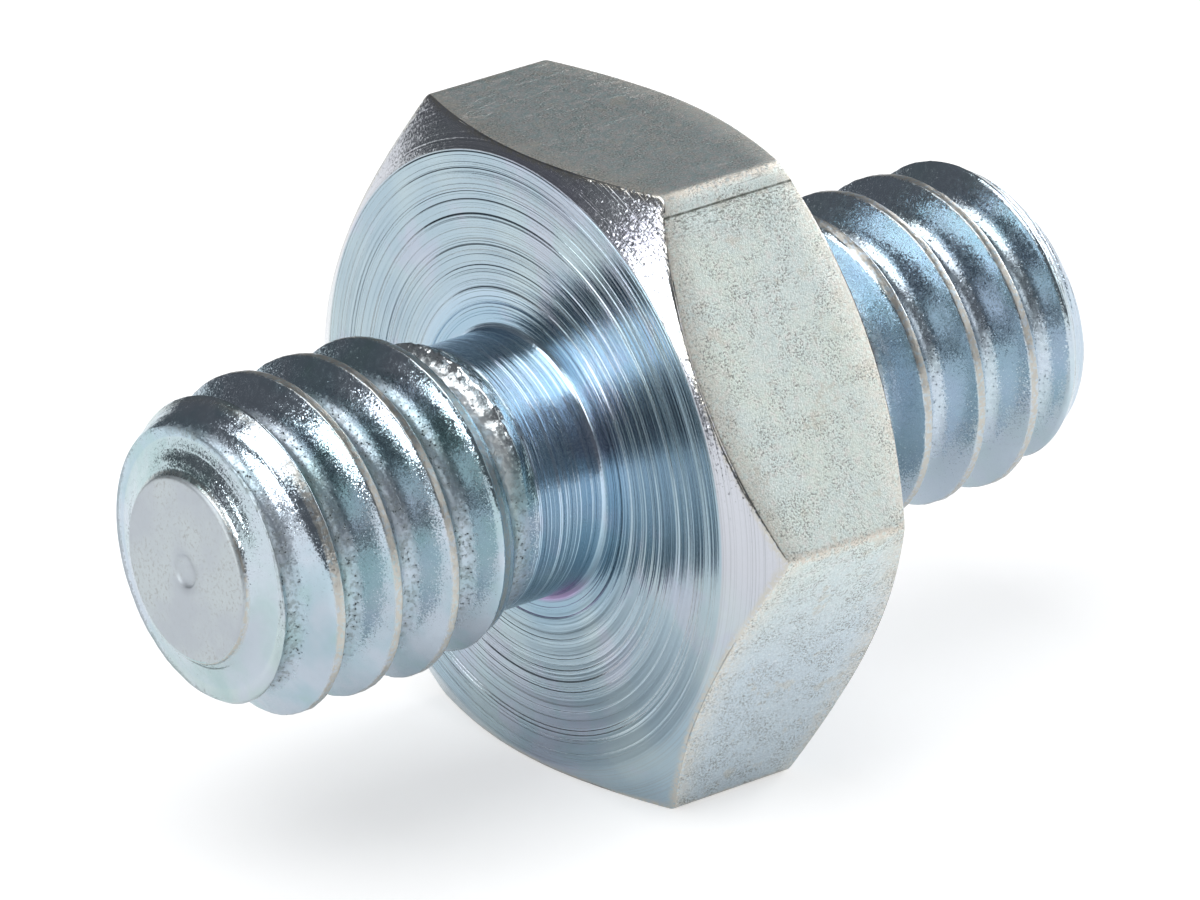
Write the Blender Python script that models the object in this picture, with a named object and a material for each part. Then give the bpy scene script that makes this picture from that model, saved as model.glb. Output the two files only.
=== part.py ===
"""Double ended male thread adapter, turned from one hexagon bar.

A stud with a quarter inch, twenty threads to the inch, screw thread stands on each side of a hexagon
flange. The whole thing is one solid. It lies on one flat of the hexagon, with the axis of the studs
along X and that flat at z = 0. Sizes are in metres.
"""

from math import cos, pi, radians, sin, sqrt, tan

import bmesh
import bpy
from mathutils import Matrix

# Screw thread, the same on both studs but for the place where it starts
PITCH = 0.00127
MAJOR_DIAMETER = 0.0062
CREST_WIDTH = 0.00016
ROOT_WIDTH = 0.00032
FLANK_ANGLE = radians(30)
FRONT_CLOCK = 0.00117  # from the end face back to a crest, at the station where the sweep begins
REAR_CLOCK = 0.00135

# Studs
STUD_LENGTH = 0.00756
NECK_LENGTH = 0.0015
NECK_STEP = 0.00008  # how far the plain neck stands above the root of the thread
RUNOUT_LENGTH = 0.0014
SHOULDER_FILLET = 0.00015

# End of a stud: a low boss with a flat face, and behind it the cone that leads into the thread
BOSS_INSET = 0.00062  # from the root of the thread in to the edge of the boss
BOSS_HEIGHT = 0.00035
BOSS_FILLET = 0.00022
LEAD_ANGLE = radians(32)
LEAD_DEPTH = 0.00053  # from the crest of the thread in to where the lead cone begins
PIP_DIAMETER = 0.00066
PIP_DEPTH = 0.00005

# Hexagon flange
ACROSS_FLATS = 0.012
FLANGE_THICKNESS = 0.00405
FACE_INSET = 0.00017  # from a flat in to the edge of the turned face
CHAMFER_ANGLE = radians(32.4)
CORNER_RADIUS = 0.00014

# Smoothness of the round forms and reach of the solids inside one another
THREAD_SEGMENTS = 42
FLANGE_SEGMENTS = 84
ROOT_STEPS = 3
FILLET_STEPS = 2
SHARP_ANGLE = radians(28)
MERGE_DISTANCE = 0.000001
CUT_DISTANCE = 0.00000001
OVERLAP = 0.0003
SHAVE_CLEARANCE = 0.0001

MAJOR_RADIUS = MAJOR_DIAMETER / 2
THREAD_DEPTH = (PITCH - CREST_WIDTH - ROOT_WIDTH) / (2 * tan(FLANK_ANGLE))
ROOT_RADIUS = MAJOR_RADIUS - THREAD_DEPTH
NECK_RADIUS = ROOT_RADIUS + NECK_STEP
FACE_RADIUS = ACROSS_FLATS / 2 - FACE_INSET
CORNER_REACH = ACROSS_FLATS / sqrt(3)
HALF_FLANGE = FLANGE_THICKNESS / 2
STUD_END = HALF_FLANGE + STUD_LENGTH
NECK_END = HALF_FLANGE + NECK_LENGTH


def clear_scene():
    for item in list(bpy.data.objects):
        bpy.data.objects.remove(item)


def arc(centre, radius, start, end, steps):
    """Points on an arc in the plane of x and radius, both ends included."""
    points = []
    for step in range(steps + 1):
        angle = start + (end - start) * step / steps
        points.append((centre[0] + radius * cos(angle), centre[1] + radius * sin(angle)))
    return points


def add_chain(bm, points):
    """A chain of edges in the plane of X and Y, where Y is the distance from the axis."""
    verts = [bm.verts.new((x, r, 0)) for x, r in points]
    edges = [bm.edges.new(pair) for pair in zip(verts, verts[1:])]
    return verts + edges


def new_object(name, bm):
    bmesh.ops.recalc_face_normals(bm, faces=bm.faces)
    mesh = bpy.data.meshes.new(name)
    bm.to_mesh(mesh)
    bm.free()
    item = bpy.data.objects.new(name, mesh)
    bpy.context.collection.objects.link(item)
    return item


def turned(name, points, segments):
    """A solid turned about X from a chain of points that starts and ends on the axis.

    It is clocked by half a facet, so that its edges don't run along the stations of the thread.
    """
    bm = bmesh.new()
    geometry = add_chain(bm, points)
    bmesh.ops.spin(
        bm, geom=geometry, cent=(0, 0, 0), axis=(1, 0, 0), angle=2 * pi, steps=segments, use_merge=True
    )
    bmesh.ops.remove_doubles(bm, verts=bm.verts, dist=MERGE_DISTANCE)
    half_facet = Matrix.Rotation(pi / segments, 3, "X")
    bmesh.ops.rotate(bm, verts=bm.verts, cent=(0, 0, 0), matrix=half_facet)
    return new_object(name, bm)


def tooth(crest_x):
    """One pitch of the thread, from the middle of one crest to the middle of the next.

    The root is one arc that touches both flanks and the root diameter.
    """
    groove_x = crest_x + PITCH / 2
    root_arc_radius = ROOT_WIDTH / 2 * cos(FLANK_ANGLE) / (1 - sin(FLANK_ANGLE))
    centre = (groove_x, ROOT_RADIUS + root_arc_radius)
    root = arc(centre, root_arc_radius, pi + FLANK_ANGLE, 2 * pi - FLANK_ANGLE, ROOT_STEPS)
    crest_edge = (crest_x + CREST_WIDTH / 2, MAJOR_RADIUS)
    next_crest_edge = (crest_x + PITCH - CREST_WIDTH / 2, MAJOR_RADIUS)
    return [crest_edge, *root, next_crest_edge]


def threaded_rod(clock):
    """The helical thread, swept from a row of teeth that moves on by one pitch in one turn.

    The rows of the first and last station meet tooth for tooth, so merging them closes the helix.
    Both ends are then cut square and capped.
    """
    first_x = NECK_END - 2 * OVERLAP
    last_x = STUD_END + OVERLAP
    crest_x = STUD_END - clock
    while crest_x > first_x - PITCH:
        crest_x -= PITCH
    points = []
    while crest_x < last_x + PITCH:
        points += tooth(crest_x)
        crest_x += PITCH
    bm = bmesh.new()
    geometry = add_chain(bm, points)
    bmesh.ops.spin(
        bm,
        geom=geometry,
        cent=(0, 0, 0),
        axis=(1, 0, 0),
        dvec=(PITCH / THREAD_SEGMENTS, 0, 0),
        angle=2 * pi,
        steps=THREAD_SEGMENTS,
    )
    bmesh.ops.remove_doubles(bm, verts=bm.verts, dist=MERGE_DISTANCE)
    for cut_x, outward in ((first_x, -1), (last_x, 1)):
        everything = bm.verts[:] + bm.edges[:] + bm.faces[:]
        bmesh.ops.bisect_plane(
            bm,
            geom=everything,
            dist=CUT_DISTANCE,
            plane_co=(cut_x, 0, 0),
            plane_no=(outward, 0, 0),
            clear_outer=True,
        )
    rims = [edge for edge in bm.edges if edge.is_boundary]
    bmesh.ops.edgeloop_fill(bm, edges=rims)
    return new_object("threaded_rod", bm)


def stud_envelope():
    """What turning leaves of the stud: pip, boss, lead cone and run-out cone."""
    boss_radius = ROOT_RADIUS - BOSS_INSET
    lead_radius = MAJOR_RADIUS - LEAD_DEPTH
    outer = MAJOR_RADIUS + SHAVE_CLEARANCE
    inner = ROOT_RADIUS - NECK_STEP
    runout_slope = (MAJOR_RADIUS - NECK_RADIUS) / RUNOUT_LENGTH
    lead_x = STUD_END - BOSS_HEIGHT
    fillet = arc((lead_x + BOSS_FILLET, boss_radius + BOSS_FILLET), BOSS_FILLET, 1.5 * pi, pi, FILLET_STEPS)
    points = [(STUD_END - PIP_DEPTH, 0), (STUD_END - PIP_DEPTH, PIP_DIAMETER / 2 - PIP_DEPTH)]
    points += [(STUD_END, PIP_DIAMETER / 2), (STUD_END, boss_radius), *fillet]
    points += [(lead_x, lead_radius), (lead_x - (outer - lead_radius) / tan(LEAD_ANGLE), outer)]
    points += [(NECK_END + (outer - NECK_RADIUS) / runout_slope, outer)]
    inner_x = NECK_END - (NECK_RADIUS - inner) / runout_slope
    points += [(inner_x, inner), (inner_x, 0)]
    return turned("stud_envelope", points, THREAD_SEGMENTS)


def turned_blank():
    """The flange as turned, before its flats show, with both plain necks."""
    reach = CORNER_REACH + OVERLAP
    chamfer_x = HALF_FLANGE - (reach - FACE_RADIUS) * tan(CHAMFER_ANGLE)
    tip_radius = ROOT_RADIUS - OVERLAP
    start_x = NECK_END + OVERLAP / 2
    tip_x = start_x + OVERLAP
    shoulder = (HALF_FLANGE + SHOULDER_FILLET, NECK_RADIUS + SHOULDER_FILLET)
    fillet = arc(shoulder, SHOULDER_FILLET, 1.5 * pi, pi, FILLET_STEPS)
    half = [(tip_x, 0), (tip_x, tip_radius), (start_x, NECK_RADIUS), *fillet]
    half += [(HALF_FLANGE, FACE_RADIUS), (chamfer_x, reach)]
    other_half = [(-x, r) for x, r in reversed(half)]
    return turned("turned_blank", half + other_half, FLANGE_SEGMENTS)


def hexagon_bar():
    """The bar stock, with a flat at the top and bottom and its long edges rounded."""
    bm = bmesh.new()
    length = 2 * (NECK_END + 2 * OVERLAP)
    turn = Matrix.Rotation(pi / 2, 4, "Y")
    bmesh.ops.create_cone(
        bm, cap_ends=True, segments=6, radius1=CORNER_REACH, radius2=CORNER_REACH, depth=length, matrix=turn
    )
    along = [edge for edge in bm.edges if abs(edge.verts[0].co.x - edge.verts[1].co.x) > length / 2]
    bmesh.ops.bevel(
        bm, geom=along, offset=CORNER_RADIUS, offset_type="OFFSET", segments=2, profile=0.5, affect="EDGES"
    )
    return new_object("hexagon_bar", bm)


def combine(target, other, operation):
    """Adds a Boolean to the target and keeps the other solid as its hidden guide."""
    boolean = target.modifiers.new(operation.title(), "BOOLEAN")
    boolean.operation = operation
    boolean.solver = "EXACT"
    boolean.object = other
    other.hide_render = True
    other.display_type = "WIRE"


def stud(name, turn, clock):
    """A threaded stud on +X, turned about Z to the side where it belongs."""
    rod = threaded_rod(clock)
    rod.name = name
    envelope = stud_envelope()
    for item in (rod, envelope):
        item.rotation_euler.z = turn
    combine(rod, envelope, "INTERSECT")
    return rod


def zinc_plate():
    material = bpy.data.materials.new("zinc_plate")
    material.use_nodes = True
    shader = material.node_tree.nodes["Principled BSDF"]
    shader.inputs["Base Color"].default_value = (0.56, 0.62, 0.65, 1)
    shader.inputs["Metallic"].default_value = 1.0
    shader.inputs["Roughness"].default_value = 0.3
    return material


def settle_shape(item):
    """Turns the live Booleans into the item's own mesh, smooth where it is round, and drops the guides."""
    bpy.context.view_layer.update()
    evaluated = item.evaluated_get(bpy.context.evaluated_depsgraph_get())
    mesh = bpy.data.meshes.new_from_object(evaluated)
    item.modifiers.clear()
    item.data = mesh
    mesh.shade_smooth()
    mesh.set_sharp_from_angle(angle=SHARP_ANGLE)
    for other in list(bpy.data.objects):
        if other != item:
            bpy.data.objects.remove(other)


def build():
    clear_scene()
    adapter = turned_blank()
    adapter.name = "thread_adapter"
    combine(adapter, hexagon_bar(), "INTERSECT")
    combine(adapter, stud("rear_stud", 0, REAR_CLOCK), "UNION")
    combine(adapter, stud("front_stud", pi, FRONT_CLOCK), "UNION")
    settle_shape(adapter)
    adapter.data.materials.clear()
    adapter.data.materials.append(zinc_plate())
    adapter.location.z = ACROSS_FLATS / 2


build()
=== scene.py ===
# %% [markdown]
# # A double ended thread adapter in bright zinc plate
#
# The real part is turned from one hexagon bar: a short screw on each side of a hexagon flange, then
# plated with zinc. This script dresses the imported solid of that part. It makes one fine mesh in the place
# of the plain one, four plated finishes, a studio and a camera. The plain part is loaded first.

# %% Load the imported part
from math import atan2, ceil, cos, hypot, pi, radians, sin, sqrt, tan
from random import Random

import bmesh
import bpy
from mathutils import Matrix, Vector, noise


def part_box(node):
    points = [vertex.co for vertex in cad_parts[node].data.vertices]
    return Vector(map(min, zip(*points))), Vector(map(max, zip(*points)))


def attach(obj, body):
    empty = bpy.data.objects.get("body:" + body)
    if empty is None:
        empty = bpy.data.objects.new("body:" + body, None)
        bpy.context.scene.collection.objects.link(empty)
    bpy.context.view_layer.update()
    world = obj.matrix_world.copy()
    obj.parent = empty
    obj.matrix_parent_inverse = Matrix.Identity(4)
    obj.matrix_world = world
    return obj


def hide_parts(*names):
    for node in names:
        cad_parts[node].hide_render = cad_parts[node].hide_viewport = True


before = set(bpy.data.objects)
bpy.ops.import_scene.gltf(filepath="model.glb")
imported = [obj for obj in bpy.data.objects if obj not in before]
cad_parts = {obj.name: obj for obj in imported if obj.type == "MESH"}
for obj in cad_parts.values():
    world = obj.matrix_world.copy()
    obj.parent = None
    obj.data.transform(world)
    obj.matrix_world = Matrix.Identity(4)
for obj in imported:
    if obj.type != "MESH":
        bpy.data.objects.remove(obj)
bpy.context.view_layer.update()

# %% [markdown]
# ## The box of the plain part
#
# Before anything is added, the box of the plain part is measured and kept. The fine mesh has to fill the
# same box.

NODE_LOW, NODE_HIGH = [Vector(corner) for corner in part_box("thread_adapter")]
print("plain part, mm:", [round(1000 * side, 3) for side in NODE_HIGH - NODE_LOW])

# %% [markdown]
# ## The sizes of the part
#
# Everything lies round one axis along X, at half the height of the hexagon. The overall sizes come from
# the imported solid, so the dressed part can't drift away from it. The rest are the sizes of the thread,
# the neck and the flange, in metres.

# %% Sizes
AXIS_Z = (NODE_LOW.z + NODE_HIGH.z) / 2
ACROSS_FLATS = NODE_HIGH.z - NODE_LOW.z
CORNER_REACH = NODE_HIGH.y
STUD_END = NODE_HIGH.x

PITCH = 0.00127
MAJOR_RADIUS = 0.0031
CREST_WIDTH = 0.00016
ROOT_WIDTH = 0.00032
FLANK_ANGLE = radians(30)
THREAD_DEPTH = (PITCH - CREST_WIDTH - ROOT_WIDTH) / (2 * tan(FLANK_ANGLE))
ROOT_RADIUS = MAJOR_RADIUS - THREAD_DEPTH
FRONT_CLOCK = 0.00117
REAR_CLOCK = 0.00135

HALF_FLANGE = 0.002025
NECK_LENGTH = 0.0015
NECK_END = HALF_FLANGE + NECK_LENGTH
NECK_RADIUS = ROOT_RADIUS + 0.00008
RUNOUT_LENGTH = 0.0014
RUNOUT_SLOPE = (MAJOR_RADIUS - NECK_RADIUS) / RUNOUT_LENGTH
SHOULDER_FILLET = 0.00015
FACE_RADIUS = ACROSS_FLATS / 2 - 0.00017
CHAMFER_ANGLE = radians(32.4)
CORNER_RADIUS = 0.00024

BOSS_HEIGHT = 0.00035
BOSS_RADIUS = ROOT_RADIUS - 0.00067
LEAD_X = STUD_END - BOSS_HEIGHT
LEAD_RADIUS = MAJOR_RADIUS - 0.00053
LEAD_ANGLE = radians(32)
PIP_RADIUS = 0.00033
PIP_DEPTH = 0.00005

SEGMENTS = 192
print("root radius, mm:", round(1000 * ROOT_RADIUS, 3))

# %% [markdown]
# ## Soft corners
#
# No edge of a turned and plated part is a true knife edge. A smooth minimum joins two surfaces with a
# small round in place of the crease, and a smooth maximum does the same in an inner corner. Both are
# used on radii below: the thread, the cone at its end and the neck are each a radius that depends on
# the place along the axis.


# %% Smooth minimum and maximum
def smooth_min(a, b, width):
    """The smaller of two numbers, rounded where they are nearly the same."""
    near = max(width - abs(a - b), 0.0) / width
    return min(a, b) - near * near * width / 4


def smooth_max(a, b, width):
    return -smooth_min(-a, -b, width)


def smooth_step(low, high, value):
    """0 at low, 1 at high and a soft curve in between."""
    share = min(max((value - low) / (high - low), 0.0), 1.0)
    return share * share * (3 - 2 * share)


print("two equal radii with a round 0.06 mm wide lose, mm:", -smooth_min(0.0, 0.0, 0.06))

# %% [markdown]
# ## The form of one thread
#
# A camera thread has flanks at 60 degrees to each other, a narrow flat crest and a round root. The
# outline of one tooth is drawn from the middle of a crest to the middle of the next: the crest with its
# small worn corners, the straight flank, the round root, and the same again backwards. Points stand
# close together only where the outline bends.

# %% Outline of one tooth
CREST_ROUND = 0.00003
CORNER_POINTS = (-0.00002, -0.000005, 0.000005, 0.00002)
ROOT_SHARES = (0.5, 0.2)
FLANK_STEPS = 7
ROOT_ROUND = ROOT_WIDTH / 2 * cos(FLANK_ANGLE) / (1 - sin(FLANK_ANGLE))


def tooth_radius(offset):
    """Radius of the thread at a distance from the middle of its crest, up to half a pitch away."""
    flank = MAJOR_RADIUS - (offset - CREST_WIDTH / 2) / tan(FLANK_ANGLE)
    from_root = PITCH / 2 - offset
    if from_root < ROOT_ROUND * cos(FLANK_ANGLE):
        return ROOT_RADIUS + ROOT_ROUND - sqrt(ROOT_ROUND**2 - from_root**2)
    return smooth_min(MAJOR_RADIUS, flank, CREST_ROUND)


def tooth_outline():
    """Points of one pitch, as distance from the crest and radius."""
    offsets = [0.0] + [CREST_WIDTH / 2 + step for step in CORNER_POINTS]
    flank_start = offsets[-1]
    flank = PITCH / 2 - ROOT_ROUND * cos(FLANK_ANGLE) - flank_start
    offsets += [flank_start + flank * step / FLANK_STEPS for step in range(1, FLANK_STEPS + 1)]
    offsets += [PITCH / 2 - ROOT_ROUND * share for share in ROOT_SHARES]
    half = [(offset, tooth_radius(offset)) for offset in offsets]
    return half + [(PITCH - offset, radius) for offset, radius in reversed(half[1:])]


OUTLINE = tooth_outline()
print("points in one tooth:", len(OUTLINE), "depth, mm:", round(1000 * THREAD_DEPTH, 3))

# %% [markdown]
# ## The helix
#
# A screw is a row of teeth that moves forward by one pitch in each turn. The spin operator does just
# that: it takes the row once round the axis and shifts it a little at every step. The last station
# then lands on the first, one tooth further on, and merging the doubles closes the helix into one
# skin. Two flat cuts give it its length.


# %% Sweep the teeth
MERGE_DISTANCE = 0.000002
CUT_DISTANCE = 0.0000001


def axis_radius(vert):
    return hypot(vert.co.y, vert.co.z)


def set_radius(vert, radius):
    scale = radius / axis_radius(vert)
    vert.co.y *= scale
    vert.co.z *= scale


def sweep_thread(bm, clock, inner_x, outer_x):
    """A length of thread between two places on the axis, with a crest at clock from the stud's end."""
    crest_x = STUD_END - clock
    crest_x -= PITCH * ceil((crest_x - inner_x) / PITCH + 1)
    chain = []
    while crest_x < outer_x + PITCH:
        chain += [bm.verts.new((crest_x + offset, radius, 0)) for offset, radius in OUTLINE]
        crest_x += PITCH
    edges = [bm.edges.new(pair) for pair in zip(chain, chain[1:])]
    bmesh.ops.spin(
        bm, geom=chain + edges, cent=(0, 0, 0), axis=(1, 0, 0), dvec=(PITCH / SEGMENTS, 0, 0),
        angle=2 * pi, steps=SEGMENTS,
    )
    bmesh.ops.remove_doubles(bm, verts=bm.verts, dist=MERGE_DISTANCE)
    for cut_x, outward in ((inner_x, -1), (outer_x, 1)):
        parts = bm.verts[:] + bm.edges[:] + bm.faces[:]
        bmesh.ops.bisect_plane(
            bm, geom=parts, dist=CUT_DISTANCE, plane_co=(cut_x, 0, 0), plane_no=(outward, 0, 0),
            clear_outer=True,
        )


print("steps in one turn:", SEGMENTS)

# %% [markdown]
# ## Lead, run-out and neck
#
# The bar was turned before the thread was cut. A cone leads into the thread at the free end, so the
# first ridge rises from nothing, and a second cone lets the last ridge fade out at the plain neck.
# On the way from the neck, the groove of the thread opens along a helix and not all round at once.

# %% Cones and the last groove
EDGE_ROUND = 0.00006
NECK_CUT = NECK_END - 0.0006
GROOVE_LAG = 0.00052
GROOVE_TURN = radians(105)
GROOVE_CLOSE = 1.1


def turned_radius(x):
    """Radius that turning leaves at a place along the stud, before the thread is cut."""
    lead = LEAD_RADIUS + (LEAD_X - x) * tan(LEAD_ANGLE)
    runout = NECK_RADIUS + max(x - NECK_END, 0.0) * RUNOUT_SLOPE
    return min(lead, runout)


def groove_start(angle, burr_side):
    """Where the last groove opens: it comes in helically, further out past the torn place."""
    return NECK_END + GROOVE_LAG * smooth_step(-0.2, 0.9, cos(angle - burr_side + GROOVE_TURN))


def floor_radius(x, start):
    """Radius below which the groove doesn't go: it closes where the neck begins."""
    return NECK_RADIUS - 0.00001 - max(x - start - 0.00012, 0.0) * GROOVE_CLOSE


print("run-out falls by, mm a mm:", round(RUNOUT_SLOPE, 3))

# %% [markdown]
# ## Trimming and torn metal
#
# Each point of the helix is drawn in to the cones. Where the die stopped it tore the metal between the
# last full ridge and the neck, on one side of the stud. That burr is a rough noise. A die also leaves
# small nicks all along the crests.

# %% Trim the helix
BURR_HEIGHT = 0.00006
BURR_GRAIN = 3800
NICK_DEPTH = 0.000012
FRONT_BURR = radians(65)
REAR_BURR = radians(110)


def torn_share(x, angle, burr_side):
    """How badly the die tore the metal here: only between the last full ridge and the neck."""
    start = groove_start(angle, burr_side)
    from_neck = smooth_step(start + 0.00002, start + 0.0002, x)
    from_ridge = smooth_step(NECK_END + 0.0011, NECK_END + 0.0008, x)
    return from_neck * from_ridge * smooth_step(0.2, 0.8, cos(angle - burr_side))


def trim_thread(bm, burr_side, seed):
    """Draws the helix in to the two cones and adds what the die left behind."""
    for vert in bm.verts:
        radius = axis_radius(vert)
        x = vert.co.x
        limit = turned_radius(x)
        cut = smooth_min(radius, limit, EDGE_ROUND)
        angle = atan2(vert.co.z, vert.co.y)
        start = groove_start(angle, burr_side)
        shape = smooth_max(cut, floor_radius(x, start), EDGE_ROUND / 2)
        torn = torn_share(x, angle, burr_side)
        spot = Vector((seed, 0, 0)) + vert.co * BURR_GRAIN
        shape += torn * BURR_HEIGHT * (noise.ridged_multi_fractal(spot, 0.8, 2.1, 4, 1.0, 2.0) - 1)
        crest = smooth_step(MAJOR_RADIUS - 0.0002, MAJOR_RADIUS, radius)
        shape -= crest * NICK_DEPTH * (1 + noise.fractal(spot, 0.8, 2.0, 3))
        set_radius(vert, NECK_RADIUS + (shape - NECK_RADIUS) * smooth_step(start - 0.0002, start, x))


print("burr height, mm:", round(1000 * BURR_HEIGHT, 3))

# %% [markdown]
# ## Growing rings
#
# The rest of the part is made of rings. An open loop of edges is extruded again and again, and each new
# ring is set to its own place and radius.


# %% Grow rings from a loop
def loop_at(bm, x):
    """The open edges that stand at one place on the axis."""
    return [edge for edge in bm.edges if edge.is_boundary and abs(edge.verts[0].co.x - x) < 0.00001]


def grow_ring(bm, loop, place):
    """Extrudes a loop and sends each new vertex where place(angle) says, as x and radius."""
    grown = bmesh.ops.extrude_edge_only(bm, edges=loop)["geom"]
    for vert in [item for item in grown if isinstance(item, bmesh.types.BMVert)]:
        x, radius = place(atan2(vert.co.z, vert.co.y))
        vert.co.x = x
        set_radius(vert, radius)
    return [item for item in grown if isinstance(item, bmesh.types.BMEdge)]


# %% [markdown]
# ## The free end
#
# The parting tool leaves a low round boss with a small pip in its middle. A hollow flare joins the boss
# to the place where the lead cone ends. The open loop of the helix grows over all of it, and the last
# ring is filled. The front boss stands a little off the axis, as parting often leaves it.

# %% Close the free end
BOSS_EDGE = 0.00007
FLARE_HEIGHT = 0.00025
FLARE_STEPS = 12
ARC_STEPS = 4


def end_outline():
    """The turned end, from the first ridge in to the pip, as x and radius."""
    reach = ROOT_RADIUS - 0.00004 - BOSS_RADIUS
    outline = []
    for step in range(FLARE_STEPS):
        share = 1 - step / FLARE_STEPS
        outline.append((LEAD_X + FLARE_HEIGHT * (1 - share) ** 1.5, BOSS_RADIUS + reach * share))
    outline.append((LEAD_X + FLARE_HEIGHT + 0.00001, BOSS_RADIUS + 0.000008))
    for step in range(ARC_STEPS + 1):
        angle = pi / 2 * step / ARC_STEPS
        x = STUD_END - BOSS_EDGE * (1 - sin(angle))
        outline.append((x, BOSS_RADIUS - BOSS_EDGE * (1 - cos(angle))))
    outline += [(STUD_END, BOSS_RADIUS * share) for share in (0.85, 0.65, 0.45, 0.3)]
    outline += [(STUD_END, PIP_RADIUS), (STUD_END - PIP_DEPTH * 0.3, PIP_RADIUS - 0.00002)]
    outline += [(STUD_END - PIP_DEPTH, PIP_RADIUS - 0.00006), (STUD_END - PIP_DEPTH * 0.6, PIP_RADIUS * 0.4)]
    return outline


def close_end(bm, boss_drop):
    """Rings from the lead cone to the pip, the last one filled, and the boss moved off the axis."""
    loop = loop_at(bm, LEAD_X)
    for x, radius in end_outline():
        loop = grow_ring(bm, loop, lambda angle, x=x, radius=radius: (x, radius))
    cap = bmesh.ops.edgeloop_fill(bm, edges=loop)["faces"]
    bmesh.ops.poke(bm, faces=cap)
    boss = [vert for vert in bm.verts if vert.co.x > LEAD_X + FLARE_HEIGHT * 0.7]
    bmesh.ops.translate(bm, verts=boss, vec=(0, 0, -boss_drop))


print("rings on the free end:", len(end_outline()))

# %% [markdown]
# ## The outline of the hexagon
#
# Seen from the end, the flange is a hexagon with worn corners. Its outline is a radius that depends on
# the angle. One flat is sunk a little behind a narrow lip along its upper corner, where the bar was
# drawn.

# %% Outline of the hexagon
LIP_ANGLE = radians(122.75)
LIP_GROOVE = 0.000025
LIP_STEP = 0.000015
CROWDING = 0.82


def hexagon_radius(angle):
    """Distance from the axis to the worn outline of the hexagon."""
    off_corner = abs((angle + pi / 6) % (pi / 3) - pi / 6)
    centre = (ACROSS_FLATS / 2 - CORNER_RADIUS) / cos(pi / 6)
    if off_corner > atan2(CORNER_RADIUS * sin(pi / 6), centre + CORNER_RADIUS * cos(pi / 6)):
        return ACROSS_FLATS / 2 / cos(pi / 6 - off_corner)
    worn = centre * cos(off_corner) + sqrt(CORNER_RADIUS**2 - (centre * sin(off_corner)) ** 2)
    return min(worn, CORNER_REACH)


def lip_drop(angle):
    """How deep one flat lies behind the narrow lip along its upper corner."""
    past = angle - LIP_ANGLE
    drop = smooth_step(-0.0035, 0.0, past) * smooth_step(0.02, 0.0, past) * LIP_GROOVE
    return drop + smooth_step(-0.0035, 0.0, past) * smooth_step(radians(50), radians(2), past) * LIP_STEP


def crowd_to_corners(angle):
    """Moves stations towards the six corners, where the outline turns sharply."""
    return angle - CROWDING * sin(6 * angle) / 6


print("reach at a corner, mm:", round(1000 * hexagon_radius(0), 3))

# %% [markdown]
# ## The turned faces
#
# The flange starts as a circle of the neck. Rings are grown from it over the fillet and across the turned
# face. There every ring gets its own small height, because the tool left fine grooves.

# %% Rings of a face
FACE_RINGS = 64
GROOVE_DEPTH = 0.0000028
CREASE = 0.00004
JOINT_GAP = 0.0001
grooves = Random(7)


def chamfer_x(radius):
    return HALF_FLANGE - (radius - FACE_RADIUS) * tan(CHAMFER_ANGLE)


def face_outline():
    """The neck's last stretch, the fillet and the grooved face, as x and radius."""
    outline = [(x, NECK_RADIUS) for x in (NECK_CUT - 0.0004, HALF_FLANGE + 2 * SHOULDER_FILLET)]
    for step in range(ARC_STEPS + 1):
        angle = pi / 2 * step / ARC_STEPS
        x = HALF_FLANGE + SHOULDER_FILLET * (1 - sin(angle))
        outline.append((x, NECK_RADIUS + SHOULDER_FILLET * (1 - cos(angle))))
    inner = NECK_RADIUS + SHOULDER_FILLET
    for ring in range(1, FACE_RINGS):
        radius = inner + (FACE_RADIUS - inner) * ring / FACE_RINGS
        outline.append((HALF_FLANGE - GROOVE_DEPTH * grooves.random() ** 2, radius))
    outline.append((HALF_FLANGE - 0.000006, FACE_RADIUS - 0.000015))
    return outline


def grow_face(bm, loop, side):
    """Rings from the neck to the chamfer's edge on one side."""
    for x, radius in face_outline():
        loop = grow_ring(bm, loop, lambda angle, x=x, radius=radius: (side * x, radius))
    return loop


print("rings on a face:", FACE_RINGS)

# %% [markdown]
# ## Chamfers and flats
#
# Both faces are grown as loops of their own. Each then goes down its chamfer, where the rings spread from
# a circle to the hexagon, so the curved edge between cone and flat falls exactly on a ring. The two loops
# meet over the flats. The stations are crowded towards the corners on the way, which a circle can't show,
# so that the worn corners come out round.


# %% Chamfers and flats
CHAMFER_RINGS = (0.04, 0.2, 0.4, 0.6, 0.8, 0.93)
EDGE_RINGS = ((0.000012, 0.00003), (-0.000012, 0.000008))
FLAT_CUTS = 5


def spread(bm, loop, side):
    """Rings down the chamfer and just over its edge on to the flat."""
    def chamfer_place(share, drop):
        def place(angle):
            radius = FACE_RADIUS + (hexagon_radius(angle) - FACE_RADIUS) * share
            return side * (chamfer_x(radius) - drop), radius
        return place

    for share in CHAMFER_RINGS:
        loop = grow_ring(bm, loop, chamfer_place(share, 0))
    for past, drop in EDGE_RINGS:
        loop = grow_ring(bm, loop, lambda angle: (
            side * (chamfer_x(hexagon_radius(angle)) + past), hexagon_radius(angle) - drop
        ))
    return grow_ring(bm, loop, chamfer_place(1.0, CREASE))


def turn_stations(bm):
    """Crowds the stations of a ring towards the corners, the more the wider the ring is."""
    for vert in bm.verts:
        angle = atan2(vert.co.z, vert.co.y)
        radius = axis_radius(vert)
        share = smooth_step(NECK_RADIUS + SHOULDER_FILLET, FACE_RADIUS, radius)
        crowded = angle + (crowd_to_corners(angle) - angle) * share
        vert.co.y = radius * cos(crowded)
        vert.co.z = radius * sin(crowded)


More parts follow.
